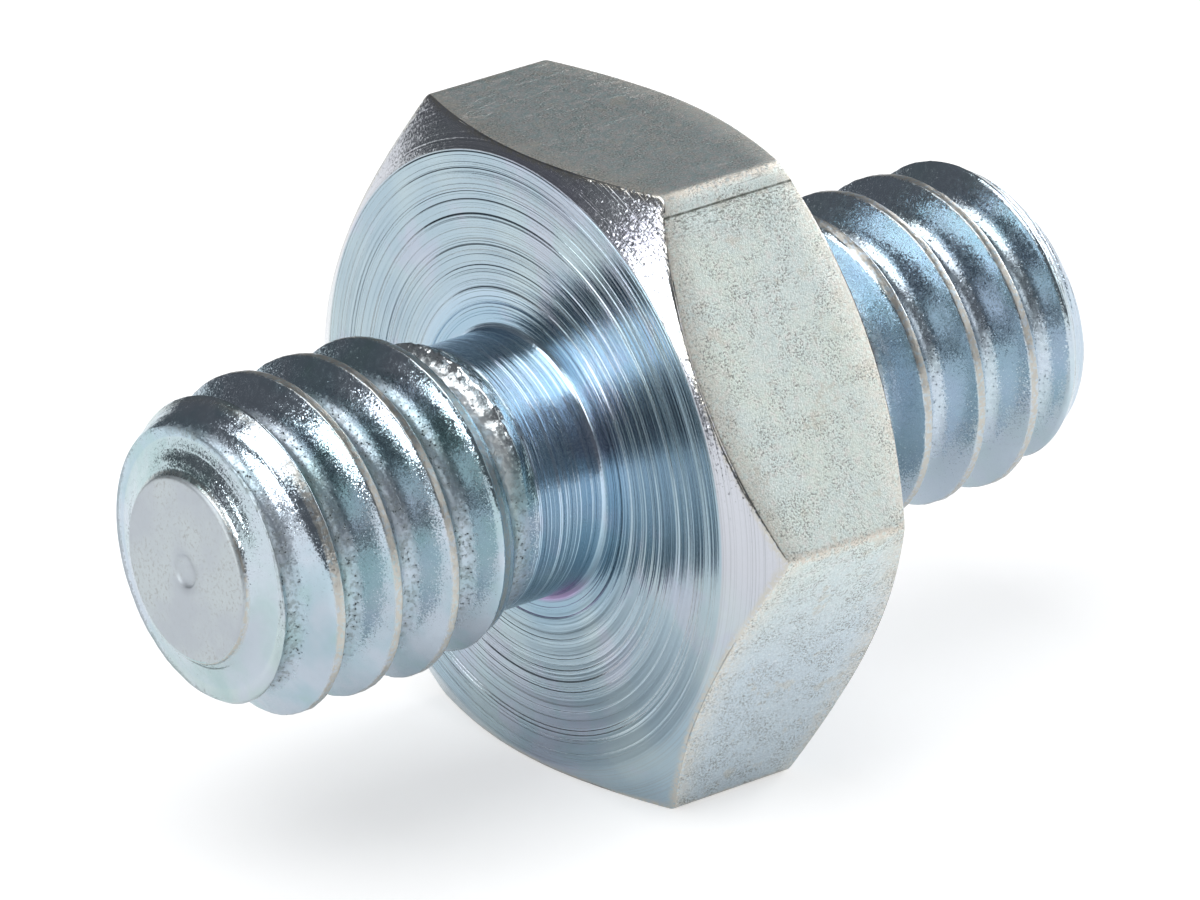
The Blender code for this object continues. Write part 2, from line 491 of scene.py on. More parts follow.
def make_flange(bm):
    """Both faces from their necks outwards, then the chamfers, then the flats between them."""
    loops = []
    for side in (-1, 1):
        turn = Matrix.Translation((side * (NECK_CUT - JOINT_GAP), 0, 0)) @ Matrix.Rotation(pi / 2, 4, "Y")
        circle = bmesh.ops.create_circle(bm, segments=SEGMENTS, radius=NECK_RADIUS, matrix=turn)["verts"]
        loop = list(dict.fromkeys(edge for vert in circle for edge in vert.link_edges))
        loops.append(grow_face(bm, loop, side))
    turn_stations(bm)
    loops = [spread(bm, loop, side) for loop, side in zip(loops, (-1, 1))]
    bmesh.ops.bridge_loops(bm, edges=loops[0] + loops[1])
    long_edges = [edge for edge in bm.edges if edge.calc_length() > HALF_FLANGE]
    bmesh.ops.subdivide_edges(bm, edges=long_edges, cuts=FLAT_CUTS, use_grid_fill=True)


corner_drop = HALF_FLANGE - chamfer_x(hexagon_radius(0))
print("chamfer at a corner, mm:", round(1000 * corner_drop, 3))

# %% [markdown]
# ## Two studs and a lip
#
# The studs are made pointing along +X. One is turned half round about Z for the front, which keeps its
# thread right handed, as a mirror would not. The lip stands out because the flat beside it is sunk.

# %% Studs and the lip
BOSS_DROP = 0.00006


def new_piece(name, bm):
    mesh = bpy.data.meshes.new(name)
    bm.to_mesh(mesh)
    bm.free()
    piece = bpy.data.objects.new(name, mesh)
    bpy.context.collection.objects.link(piece)
    return piece


def add_stud(bm, turn, clock, burr_side, boss_drop):
    """Makes one stud on its own, turns it about Z and adds it to the part."""
    stud = bmesh.new()
    sweep_thread(stud, clock, NECK_CUT, LEAD_X)
    trim_thread(stud, burr_side, turn)
    close_end(stud, boss_drop)
    bmesh.ops.rotate(stud, verts=stud.verts, cent=(0, 0, 0), matrix=Matrix.Rotation(turn, 3, "Z"))
    mesh = bpy.data.meshes.new("stud")
    stud.to_mesh(mesh)
    stud.free()
    bm.from_mesh(mesh)
    bpy.data.meshes.remove(mesh)


def press_lip(bm):
    """Sinks the flat next to its lip, between the two chamfers."""
    sunk = 0
    for vert in bm.verts:
        angle = atan2(vert.co.z, vert.co.y)
        outline = hexagon_radius(angle)
        radius = axis_radius(vert)
        if radius > outline - 0.00001 and abs(vert.co.x) < chamfer_x(outline):
            set_radius(vert, radius - lip_drop(angle))
            sunk += lip_drop(angle) > 0
    print("vertices sunk beside the lip:", sunk)


print("front boss off the axis, mm:", round(1000 * BOSS_DROP, 3))

# %% [markdown]
# ## One skin
#
# The part is one piece of steel, so the mesh is one closed skin too. Each stud's loop is bridged to the
# neck of the flange. The piece then stands in for the plain solid.


# %% Join the pieces
def make_adapter():
    bm = bmesh.new()
    make_flange(bm)
    press_lip(bm)
    add_stud(bm, 0, REAR_CLOCK, REAR_BURR, 0.0)
    add_stud(bm, pi, FRONT_CLOCK, FRONT_BURR, BOSS_DROP)
    for side in (-1, 1):
        ends = loop_at(bm, side * NECK_CUT) + loop_at(bm, side * (NECK_CUT - JOINT_GAP))
        bmesh.ops.bridge_loops(bm, edges=ends)
    bmesh.ops.recalc_face_normals(bm, faces=bm.faces)
    bmesh.ops.translate(bm, verts=bm.verts, vec=(0, 0, AXIS_Z))
    open_edges = sum(1 for edge in bm.edges if edge.is_boundary)
    triangles = sum(len(face.verts) - 2 for face in bm.faces)
    volume = round(bm.calc_volume() * 1e9, 1)
    print("adapter skin: triangles", triangles, "open edges", open_edges, "volume mm3", volume)
    for face in bm.faces:
        face.smooth = True
    return new_piece("adapter_body", bm)


adapter = make_adapter()
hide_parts("thread_adapter")
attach(adapter, "root")

# %% [markdown]
# ## Where the part is worn
#
# Wear follows the shape: crests and corners are rubbed, thread roots stay rough. Five numbers on every
# vertex are worked out from its place on the helix and round the hexagon: how rubbed it is, how deep in a
# root, which flank it is on, how far the cones cut it and how torn it is. The finishes read them as
# attributes, so wear sits exactly on its edge.

# %% Numbers for wear
CORNER_WEAR = radians(1.3)


def stud_place(co):
    """Place of a vertex in the frame of its own stud: x, angle, radius and thread clock."""
    side = 1 if co.x > 0 else -1
    height = co.z - AXIS_Z
    return abs(co.x), atan2(height, side * co.y), hypot(co.y, height), REAR_CLOCK if side > 0 else FRONT_CLOCK


def wear_numbers(co):
    """Rubbed, grime, flank, coned and torn at one vertex."""
    x, angle, radius, clock = stud_place(co)
    if x > LEAD_X + 0.000002:
        edge = max(STUD_END - BOSS_EDGE - x, 0.0) + abs(radius - BOSS_RADIUS)
        return smooth_step(0.0001, 0.00003, edge) * (x < STUD_END - 0.00001), 0.0, -0.1, 0.4, 0.0
    if x > NECK_END - 0.00001:
        turn = (x - STUD_END + clock) / PITCH - angle / (2 * pi)
        offset = (turn - round(turn)) * PITCH
        low = 0.0007 if x < NECK_END + RUNOUT_LENGTH else 0.0003
        full = smooth_step(MAJOR_RADIUS - low, MAJOR_RADIUS - low + 0.00025, radius)
        rubbed = smooth_step(CREST_WIDTH / 2 + 0.00002, CREST_WIDTH / 2 - 0.00002, abs(offset)) * full
        grime = smooth_step(PITCH / 2 - ROOT_ROUND * 1.1, PITCH / 2 - ROOT_ROUND * 0.5, abs(offset))
        coned = smooth_step(0.00006, -0.00001, turned_radius(x) - radius)
        torn = torn_share(x, angle, REAR_BURR if co.x > 0 else FRONT_BURR)
        return rubbed, grime * (1 - coned), sin(2 * pi * offset / PITCH), coned * (1 - torn), torn
    angle = atan2(co.z - AXIS_Z, co.y)
    off_corner = abs((angle + pi / 6) % (pi / 3) - pi / 6)
    outline = hexagon_radius(angle)
    rubbed = 0.0
    if radius > outline - 0.00007:
        rim = smooth_step(0.00009, 0.00001, chamfer_x(outline) - x)
        rubbed = max(smooth_step(CORNER_WEAR, CORNER_WEAR * 0.3, off_corner), rim)
    elif radius > FACE_RADIUS:
        rubbed = smooth_step(0.00012, 0.00004, outline - radius)
    return rubbed, 0.0, 0.0, 0.0, 0.0


def number_wear(piece):
    names = ("rubbed", "grime", "flank", "coned", "torn")
    numbers = [wear_numbers(vert.co) for vert in piece.data.vertices]
    for slot, name in enumerate(names):
        layer = piece.data.attributes.new(name, "FLOAT", "POINT")
        layer.data.foreach_set("value", [row[slot] for row in numbers])
        print(name, "mean", round(sum(row[slot] for row in numbers) / len(numbers), 3))


number_wear(adapter)

# %% [markdown]
# ## Finishes as nodes
#
# Bright zinc plate is metal all over, but it looks different after each way of working: fine rings on
# what was turned, pits and grain on the thread, a dull skin on the drawn bar. Each finish is a tree
# of nodes, and small helpers keep the trees readable.


# %% Sums as nodes
def node_input(tree, socket, value):
    """Gives a socket its value: a link if the value is another node's output, else a constant."""
    if isinstance(value, bpy.types.NodeSocket):
        tree.links.new(value, socket)
    else:
        socket.default_value = value


def maths(tree, operation, *values):
    """One sum with plain numbers."""
    made = tree.nodes.new("ShaderNodeMath")
    made.operation = operation
    for socket, value in zip(made.inputs, values):
        node_input(tree, socket, value)
    return made.outputs[0]


def times(tree, first, second):
    return maths(tree, "MULTIPLY", first, second)


def vectors(tree, operation, *values):
    """One sum with vectors."""
    made = tree.nodes.new("ShaderNodeVectorMath")
    made.operation = operation
    for socket, value in zip(made.inputs, values):
        node_input(tree, socket, value)
    return made.outputs["Value" if operation in ("LENGTH", "DOT_PRODUCT") else "Vector"]


def scaled_vector(tree, vector, factor):
    made = tree.nodes.new("ShaderNodeVectorMath")
    made.operation = "SCALE"
    tree.links.new(vector, made.inputs[0])
    node_input(tree, made.inputs["Scale"], factor)
    return made.outputs[0]


print("helpers for sums: maths, times, vectors, scaled_vector")

# %% [markdown]
# ## Noise, steps and colours
#
# Nearly every mark on the plate is a noise, a soft step that picks part of it, and a colour mixed in
# there. A bump turns the same number into a dent.


# %% Noise, steps and colours as nodes
def grain(tree, place, scale, detail=3.0, roughness=0.55):
    """A noise about 0.5, with scale spots to the metre."""
    made = tree.nodes.new("ShaderNodeTexNoise")
    node_input(tree, made.inputs["Vector"], place)
    made.inputs["Scale"].default_value = scale
    made.inputs["Detail"].default_value = detail
    made.inputs["Roughness"].default_value = roughness
    return made.outputs["Fac"]


def between(tree, value, low, high, to_low=0.0, to_high=1.0):
    """A soft step of a value: to_low at low, to_high at high."""
    made = tree.nodes.new("ShaderNodeMapRange")
    made.interpolation_type = "SMOOTHSTEP"
    names = ("Value", "From Min", "From Max", "To Min", "To Max")
    for name, number in zip(names, (value, low, high, to_low, to_high)):
        node_input(tree, made.inputs[name], number)
    return made.outputs["Result"]


def mixed(tree, share, first, second):
    """A colour that goes from the first to the second by a share of 0 to 1."""
    made = tree.nodes.new("ShaderNodeMix")
    made.data_type = "RGBA"
    node_input(tree, made.inputs["Factor"], share)
    for name, colour in (("A", first), ("B", second)):
        linked = isinstance(colour, bpy.types.NodeSocket)
        node_input(tree, made.inputs[name], colour if linked else (*colour, 1))
    return made.outputs["Result"]


def number_on_mesh(tree, name):
    made = tree.nodes.new("ShaderNodeAttribute")
    made.attribute_name = name
    return made.outputs["Fac"]


def bumped(tree, height, distance, normal=None, strength=1.0):
    made = tree.nodes.new("ShaderNodeBump")
    made.inputs["Strength"].default_value = strength
    made.inputs["Distance"].default_value = distance
    tree.links.new(height, made.inputs["Height"])
    if normal:
        tree.links.new(normal, made.inputs["Normal"])
    return made.outputs["Normal"]


print("helpers for marks: grain, between, mixed, number_on_mesh, bumped")

# %% [markdown]
# ## Marks of the lathe
#
# A lathe tool leaves grooves far finer than a mesh can hold. They are made in the surface normal: the
# radius and the place along the axis choose a value from a noise, and the normal is tipped by it across
# the groove. Squaring that value with its sign kept leaves most of the surface nearly flat and a few
# steep walls, which is how a tool with a chipped tip cuts. The same rule gives circles on the face,
# rings on the neck and rings on the chamfer, each with its own strength. A slow wobble keeps the rings
# from being perfect circles.


# %% Turning marks
CHAMFER_MARKS = 0.16
LOW_MARKS = 0.6
WOBBLE = 0.12


def place_on_axis(tree):
    """Object coordinates with the axis of the part at zero height."""
    coordinates = tree.nodes.new("ShaderNodeTexCoord")
    return vectors(tree, "SUBTRACT", coordinates.outputs["Object"], (0, 0, AXIS_Z))


def turning_marks(tree, place, slope, spacing, neck_share=1.0):
    """Normal with grooves round the axis, the groove noise, the radius and the place along the axis."""
    parts = tree.nodes.new("ShaderNodeSeparateXYZ")
    tree.links.new(place, parts.inputs[0])
    outward = tree.nodes.new("ShaderNodeCombineXYZ")
    tree.links.new(parts.outputs["Y"], outward.inputs["Y"])
    tree.links.new(parts.outputs["Z"], outward.inputs["Z"])
    radius = vectors(tree, "LENGTH", outward.outputs[0])
    profile = tree.nodes.new("ShaderNodeCombineXYZ")
    tree.links.new(parts.outputs["X"], profile.inputs["X"])
    tree.links.new(radius, profile.inputs["Y"])
    wobble = grain(tree, place, 250, 1.0)
    node_input(tree, profile.inputs["Z"], times(tree, wobble, spacing * WOBBLE))
    groove = grain(tree, profile.outputs[0], 1 / spacing, 4.0, 0.85)
    around = vectors(tree, "CROSS_PRODUCT", (1, 0, 0), outward.outputs[0])
    geometry = tree.nodes.new("ShaderNodeNewGeometry")
    across = vectors(tree, "NORMALIZE", vectors(tree, "CROSS_PRODUCT", around, geometry.outputs["Normal"]))
    lean = maths(tree, "SUBTRACT", groove, 0.5)
    tip = times(tree, times(tree, lean, maths(tree, "ABSOLUTE", lean)), slope)
    off_neck = between(tree, radius, NECK_RADIUS + 0.00005, NECK_RADIUS + 0.0003, neck_share, 1.0)
    on_chamfer = between(tree, radius, FACE_RADIUS, FACE_RADIUS + 0.00004, 1.0, CHAMFER_MARKS)
    tip = times(tree, tip, times(tree, off_neck, on_chamfer))
    tip = times(tree, tip, between(tree, parts.outputs["Z"], -0.004, 0.0, LOW_MARKS, 1.0))
    tilt = scaled_vector(tree, across, tip)
    normal = vectors(tree, "NORMALIZE", vectors(tree, "ADD", geometry.outputs["Normal"], tilt))
    return normal, groove, radius, parts.outputs["X"]


def new_finish(name):
    """A new metal material, its tree and its shader."""
    material = bpy.data.materials.new(name)
    material.use_nodes = True
    shader = material.node_tree.nodes["Principled BSDF"]
    shader.inputs["Metallic"].default_value = 1.0
    return material, material.node_tree, shader


# %% [markdown]
# ## Grain that sparkles
#
# Zinc crystals tip the surface a little in every direction. A noise with three channels gives each spot
# its own small tilt, again mostly flat with a few steep ones, and those are the sparks in a highlight
# and the bright dots in the dark. The same kind of noise breaks up the rubbed edges.


# %% Crystal grain
RUB_GRAIN = 13000


def crystal_grain(tree, place, normal, scale, slope):
    """Tips a normal by a noise with scale spots to the metre, the more the larger the slope."""
    made = tree.nodes.new("ShaderNodeTexNoise")
    tree.links.new(place, made.inputs["Vector"])
    made.inputs["Scale"].default_value = scale
    made.inputs["Detail"].default_value = 2.0
    lean = vectors(tree, "SUBTRACT", made.outputs["Color"], (0.5, 0.5, 0.5))
    steep = vectors(tree, "MULTIPLY", lean, vectors(tree, "ABSOLUTE", lean))
    return vectors(tree, "NORMALIZE", vectors(tree, "ADD", normal, scaled_vector(tree, steep, slope)))


def rubbed_share(tree, place):
    """How much the plate is rubbed off here, broken up by a fine grain."""
    worn = between(tree, grain(tree, place, RUB_GRAIN, 3.0), 0.38, 0.52, 0.2, 1.0)
    return times(tree, number_on_mesh(tree, "rubbed"), worn)


# %% [markdown]
# ## Turned zinc
#
# The neck, both faces, the chamfers and the step at each end were cut on the lathe. The plate there is
# smooth and blue. Silver is painted on one side of each fine groove as a painted glint, and dark on the other
# side, on the face and on the chamfer, as painted shade. The neck is painted bright above as a painted
# highlight, and deep blue below and in the hollow round it as painted shade. Low on the neck, next to the
# fillet, the bath left a thin violet film.

# %% Finish of the turned surfaces
PLATE_BLUE = (0.38, 0.49, 0.56)
PAINTED_DEEP_SHADE = (0.30, 0.44, 0.54)
CHAMFER_PAINTED_SHADE = (0.30, 0.32, 0.34)
NECK_PAINTED_HIGHLIGHT = (0.55, 0.69, 0.83)
GROOVE_PAINTED_GLINT = (0.74, 0.76, 0.77)
PLATE_BEIGE = (0.53, 0.52, 0.48)
PLATE_CHAMFER = (0.57, 0.59, 0.64)
PLATE_VIOLET = (0.50, 0.50, 0.62)
FILM_VIOLET = (0.48, 0.36, 0.60)
PLATE_TORN = (0.84, 0.86, 0.86)
REAR_PAINTED_LIGHT = (0.55, 0.65, 0.76)
PLATE_SHADE = (0.16, 0.19, 0.2)
PLATE_GREEN = (0.56, 0.65, 0.64)
TURNED_SLOPE = 95.0
TURNED_SPACING = 0.00008
TURNED_NECK = 0.6
TURNED_CRYSTALS = 20000


def turned_finish():
    material, tree, shader = new_finish("zinc_turned")
    place = place_on_axis(tree)
    normal, groove, radius, along = turning_marks(tree, place, TURNED_SLOPE, TURNED_SPACING, TURNED_NECK)
    patch = grain(tree, place, 420, 2.0)
    height = vectors(tree, "DOT_PRODUCT", place, (0, 0, 1))
    # Painted highlight and shade: the neck is coloured bright above the axis and deep blue below it.
    neck = mixed(tree, between(tree, height, 0.0008, -0.0012), NECK_PAINTED_HIGHLIGHT, PAINTED_DEEP_SHADE)
    colour = mixed(tree, between(tree, radius, NECK_RADIUS, NECK_RADIUS + 0.0012), neck, PLATE_BLUE)
    # Painted shade in the hollow round the fillet, which darkens the fillet's highlight.
    hollow = times(
        tree, between(tree, radius, NECK_RADIUS + 0.00002, NECK_RADIUS + 0.0001),
        between(tree, radius, NECK_RADIUS + 0.0008, NECK_RADIUS + 0.0003, 0.0, 0.8),
    )
    colour = mixed(tree, hollow, colour, PAINTED_DEEP_SHADE)
    chamfer = mixed(tree, between(tree, height, 0.0, -0.004), PLATE_CHAMFER, PLATE_BLUE)
    # Painted shade: one side of each groove on the chamfer is coloured dark.
    chamfer = mixed(tree, between(tree, groove, 0.5, 0.4, 0.0, 0.5), chamfer, CHAMFER_PAINTED_SHADE)
    colour = mixed(tree, between(tree, radius, FACE_RADIUS - 0.00002, FACE_RADIUS + 0.00002), colour, chamfer)
    # Painted glint on one side of each groove, and painted shade (PLATE_SHADE) on the other.
    colour = mixed(tree, between(tree, groove, 0.58, 0.8), colour, GROOVE_PAINTED_GLINT)
    colour = mixed(tree, between(tree, groove, 0.36, 0.24, 0.0, 0.5), colour, PLATE_SHADE)
    colour = mixed(tree, between(tree, patch, 0.45, 0.7, 0.0, 0.4), colour, PLATE_GREEN)
    film = grain(tree, place, 700, 3.0, 0.6)
    colour = mixed(tree, between(tree, film, 0.52, 0.68, 0.0, 0.45), colour, PLATE_VIOLET)
    below = between(tree, height, -0.0015, -0.0023)
    shoulder = between(tree, maths(tree, "ABSOLUTE", along), HALF_FLANGE + 0.0007, HALF_FLANGE + 0.0002)
    at_neck = between(tree, radius, NECK_RADIUS + 0.0002, NECK_RADIUS + 0.00008)
    shoulder = times(tree, shoulder, at_neck)
    colour = mixed(tree, times(tree, shoulder, below), colour, FILM_VIOLET)
    colour = mixed(tree, rubbed_share(tree, place), colour, PLATE_BEIGE)
    tree.links.new(colour, shader.inputs["Base Color"])
    speck = grain(tree, place, 26000, 2.0)
    tree.links.new(between(tree, speck, 0.3, 0.75, 0.14, 0.24), shader.inputs["Roughness"])
    crystals = between(tree, radius, FACE_RADIUS, FACE_RADIUS + 0.00004, 0.7, 2.4)
    tree.links.new(crystal_grain(tree, place, normal, TURNED_CRYSTALS, crystals), shader.inputs["Normal"])
    return material


# %% [markdown]
# ## The surface of the thread
#
# The cones at both ends of a stud are turned, and the flanks between them are cut. So the normal takes
# the turning marks where the cones show and the plain surface elsewhere. Crystals, torn metal, a slow
# swell and the pits come on top.

# %% Normal of the threads
THREAD_SLOPE = 20.0
THREAD_SPACING = 0.00015
THREAD_CRYSTALS = 30000
TORN_CRYSTALS = 7000


def thread_normal(tree, place, pitted):
    marks = turning_marks(tree, place, THREAD_SLOPE, THREAD_SPACING)[0]
    geometry = tree.nodes.new("ShaderNodeNewGeometry")
    chosen = tree.nodes.new("ShaderNodeMix")
    chosen.data_type = "VECTOR"
    tree.links.new(number_on_mesh(tree, "coned"), chosen.inputs["Factor"])
    vector_inputs = [socket for socket in chosen.inputs if socket.type == "VECTOR" and socket.name in "AB"]
    tree.links.new(geometry.outputs["Normal"], vector_inputs[0])
    tree.links.new(marks, vector_inputs[1])
    vector_output = [socket for socket in chosen.outputs if socket.type == "VECTOR"][0]
    sparkling = crystal_grain(tree, place, vector_output, THREAD_CRYSTALS, 3.6)
    crumpled = times(tree, number_on_mesh(tree, "torn"), 6.0)
    sparkling = crystal_grain(tree, place, sparkling, TORN_CRYSTALS, crumpled)
    swollen = bumped(tree, grain(tree, place, 3200, 3.0), 0.000014, sparkling, 0.5)
    return bumped(tree, pitted, -0.00003, swollen, 0.8)


# %% [markdown]
# ## Zinc on the thread
#
# A die cut the thread, so its flanks have a fine grain that breaks a highlight into sparks. One flank is
# bluer and the other paler and greener, the rear stud is painted lighter and bluer than the front one and
# given less root grime, as painted light, the crests are rubbed to beige, and dark pits sit along the root.
# The torn metal is bright and crumpled.


# %% Finish of the threads
FLANK_PALE = (0.50, 0.60, 0.61)
FLANK_BLUE = (0.43, 0.55, 0.62)
FLANK_LILAC = (0.55, 0.60, 0.68)
FLANK_TEAL = (0.36, 0.52, 0.52)
ROOT_GRIME = (0.22, 0.25, 0.24)
PIT_DARK = (0.05, 0.05, 0.05)
PIT_SCALE = 16000


def thread_finish():
    material, tree, shader = new_finish("zinc_thread")
    place = place_on_axis(tree)
    flank = number_on_mesh(tree, "flank")
    rubbed = number_on_mesh(tree, "rubbed")
    grime = number_on_mesh(tree, "grime")
    broad = grain(tree, place, 700, 3.0)
    colour = mixed(tree, between(tree, flank, -0.5, 0.5), FLANK_PALE, FLANK_BLUE)
    colour = mixed(tree, between(tree, broad, 0.42, 0.62, 0.0, 0.7), colour, FLANK_LILAC)
    colour = mixed(tree, between(tree, broad, 0.46, 0.34, 0.0, 0.5), colour, FLANK_TEAL)
    # Painted light: the rear stud is coloured lighter and bluer and keeps only half its root grime.
    rear = between(tree, vectors(tree, "DOT_PRODUCT", place, (1, 0, 0)), -0.001, 0.001)
    colour = mixed(tree, times(tree, rear, 0.45), colour, REAR_PAINTED_LIGHT)
    grime = times(tree, grime, maths(tree, "SUBTRACT", 1.0, times(tree, rear, 0.5)))
    colour = mixed(tree, rubbed_share(tree, place), colour, PLATE_BEIGE)
    pits = tree.nodes.new("ShaderNodeTexVoronoi")
    tree.links.new(place, pits.inputs["Vector"])
    pits.inputs["Scale"].default_value = PIT_SCALE
    coarse = grain(tree, place, 8200, 4.0, 0.7)
    pitted = between(tree, pits.outputs["Distance"], 0.38, 0.12)
    pitted = times(tree, pitted, between(tree, coarse, 0.5, 0.6))
    pitted = times(tree, pitted, between(tree, grime, 0.0, 0.8, 0.04, 1.0))
    rooted = between(tree, coarse, 0.45, 0.6, 0.0, 0.5)
    rooted = times(tree, between(tree, grime, 0.4, 1.0), rooted)
    colour = mixed(tree, rooted, colour, ROOT_GRIME)
    colour = mixed(tree, times(tree, pitted, 0.85), colour, PIT_DARK)
    colour = mixed(tree, times(tree, number_on_mesh(tree, "torn"), 0.7), colour, PLATE_TORN)
    tree.links.new(colour, shader.inputs["Base Color"])
    rough = between(tree, coarse, 0.35, 0.7, 0.12, 0.26)
    rough = maths(tree, "ADD", rough, times(tree, rubbed, 0.2))
    rough = maths(tree, "ADD", rough, times(tree, grime, 0.25))
    tree.links.new(rough, shader.inputs["Roughness"])
    tree.links.new(thread_normal(tree, place, pitted), shader.inputs["Normal"])
    return material


# %% [markdown]
# ## Scratches and the edge of the lip
#
# A noise that is stretched far along one axis turns into lines, and a narrow band of its values gives
# hair scratches. Beside the lip on the one flat runs a thin dark crack, with short streaks under it.

# %% Lines on the flats
STREAK_GRAIN = 34000
ACROSS_LIP = (0, -cos(pi / 3), -sin(pi / 3))
OUT_OF_LIP = (0, -cos(pi / 6), sin(pi / 6))
LIP_PLACE = -ACROSS_FLATS / 2 * tan(LIP_ANGLE - radians(150))


def scratches(tree, place, turn, spacing, width):
    """Hair scratches in one direction, as 0 to 1."""
    mapping = tree.nodes.new("ShaderNodeMapping")
    tree.links.new(place, mapping.inputs["Vector"])
    mapping.inputs["Rotation"].default_value = turn
    mapping.inputs["Scale"].default_value = (300, 1 / spacing, 1 / spacing)
    lines = grain(tree, mapping.outputs[0], 1.0, 2.0, 0.5)
    return between(tree, maths(tree, "ABSOLUTE", maths(tree, "SUBTRACT", lines, 0.6)), width, 0.0)


def lip_marks(tree, place, tint):
    """The crack beside the lip and the streaks under it, as 0 to 1."""
    past_lip = maths(tree, "ADD", vectors(tree, "DOT_PRODUCT", place, ACROSS_LIP), LIP_PLACE)
    on_lip_flat = between(tree, vectors(tree, "DOT_PRODUCT", place, OUT_OF_LIP), 0.0059, 0.00595)
    crack = between(tree, maths(tree, "ABSOLUTE", past_lip), 0.00003, 0.00001)
    crack = times(tree, crack, between(tree, tint, 0.35, 0.55, 0.4, 1.0))
    streaked = tree.nodes.new("ShaderNodeMapping")
    tree.links.new(place, streaked.inputs["Vector"])
    streaked.inputs["Scale"].default_value = (0.35, 1, 1)
    streak = between(tree, grain(tree, streaked.outputs[0], STREAK_GRAIN, 3.0, 0.7), 0.52, 0.6)
    streak = times(tree, streak, between(tree, past_lip, 0.0, 0.0009, 0.75, 0.0))
    streak = times(tree, streak, between(tree, past_lip, 0.0, 0.00002))
    return times(tree, maths(tree, "MAXIMUM", crack, streak), on_lip_flat)


print("lip ends from the flat's middle, mm:", round(1000 * LIP_PLACE, 3))

# %% [markdown]
# ## Drawn zinc
#
# The six flats are the skin of the drawn bar, which the lathe never touched. It is dull and pale, with
# dark specks, hair scratches and a faint film of brown, pink and green. The top flat is painted darker as
# painted shade, and the flats are painted darker and bluer lower down as a painted reflection of the
# shaded floor.

# %% Finish of the flats
PAINTED_TOP_SHADE = (0.34, 0.44, 0.45)
PAINTED_TOP_SHADE_ROSE = (0.47, 0.46, 0.46)
BAR_GREEN = (0.72, 0.79, 0.73)
BAR_PALE = (0.69, 0.77, 0.75)
BAR_PINK = (0.76, 0.70, 0.68)
BAR_GREY = (0.56, 0.66, 0.66)
BAR_PAINTED_FLOOR_SHADE = (0.58, 0.67, 0.75)
BAR_STAIN = (0.58, 0.54, 0.46)
BAR_RUBBED = (0.70, 0.66, 0.59)
SPECK_LIGHT = (0.86, 0.88, 0.86)
SPECK_DARK = (0.20, 0.21, 0.19)
CRACK_DARK = (0.12, 0.13, 0.11)
HAIR_DARK = (0.25, 0.25, 0.25)
SPECK_GRAIN = 27000


def drawn_finish():
    material, tree, shader = new_finish("zinc_drawn")
    place = place_on_axis(tree)
    broad = grain(tree, place, 700, 3.0, 0.6)
    tint = grain(tree, place, 6000, 6.0, 0.8)
    colour = mixed(tree, between(tree, broad, 0.35, 0.65), BAR_GREEN, BAR_PALE)
    colour = mixed(tree, between(tree, tint, 0.5, 0.62, 0.0, 0.4), colour, BAR_PINK)
    colour = mixed(tree, between(tree, tint, 0.5, 0.38, 0.0, 0.4), colour, BAR_GREY)
    height = vectors(tree, "DOT_PRODUCT", place, (0, 0, 1))
    # Painted reflection of the shaded floor: the flats are coloured darker and bluer lower down.
    colour = mixed(tree, between(tree, height, 0.001, -0.003, 0.0, 0.8), colour, BAR_PAINTED_FLOOR_SHADE)
    # Painted shade: the top flat is coloured darker.
    top_shade_share = between(tree, height, ACROSS_FLATS / 2 - 0.0001, ACROSS_FLATS / 2 - 0.00005, 0.0, 0.8)
    top_flat_painted_shade = mixed(tree, between(tree, tint, 0.45, 0.55), PAINTED_TOP_SHADE, PAINTED_TOP_SHADE_ROSE)
    colour = mixed(tree, top_shade_share, colour, top_flat_painted_shade)
    stain = between(tree, grain(tree, place, 1700, 4.0, 0.7), 0.57, 0.66, 0.0, 0.45)
    colour = mixed(tree, stain, colour, BAR_STAIN)
    colour = mixed(tree, rubbed_share(tree, place), colour, BAR_RUBBED)
    speck = grain(tree, place, SPECK_GRAIN, 3.0, 0.75)
    crowd = between(tree, grain(tree, place, 1900, 4.0, 0.7), 0.42, 0.6, 0.25, 1.0)
    specks = times(tree, between(tree, speck, 0.52, 0.58), crowd)
    colour = mixed(tree, between(tree, speck, 0.43, 0.36, 0.0, 0.7), colour, SPECK_LIGHT)
    hair = scratches(tree, place, (0.0, 0.3, 0.25), 0.0003, 0.004)
    colour = mixed(tree, times(tree, specks, 0.85), colour, SPECK_DARK)
    colour = mixed(tree, lip_marks(tree, place, tint), colour, CRACK_DARK)
    colour = mixed(tree, times(tree, hair, 0.45), colour, HAIR_DARK)
    tree.links.new(colour, shader.inputs["Base Color"])
    tree.links.new(between(tree, tint, 0.3, 0.7, 0.44, 0.5), shader.inputs["Roughness"])
    fine = bumped(tree, speck, -0.00001, None, 0.9)
    tree.links.new(bumped(tree, hair, -0.000006, fine, 0.6), shader.inputs["Normal"])
    return material


# %% [markdown]
# ## Parted zinc
#
# The two end faces were torn off by the parting tool and plated dull. The finish is even and grey, with
# small dark specks that gather in places.


# %% Finish of the end faces
END_BLUE = (0.49, 0.53, 0.57)
END_PALE = (0.54, 0.59, 0.61)
END_SPECK = (0.3, 0.29, 0.28)
END_ROUGHNESS = 0.5


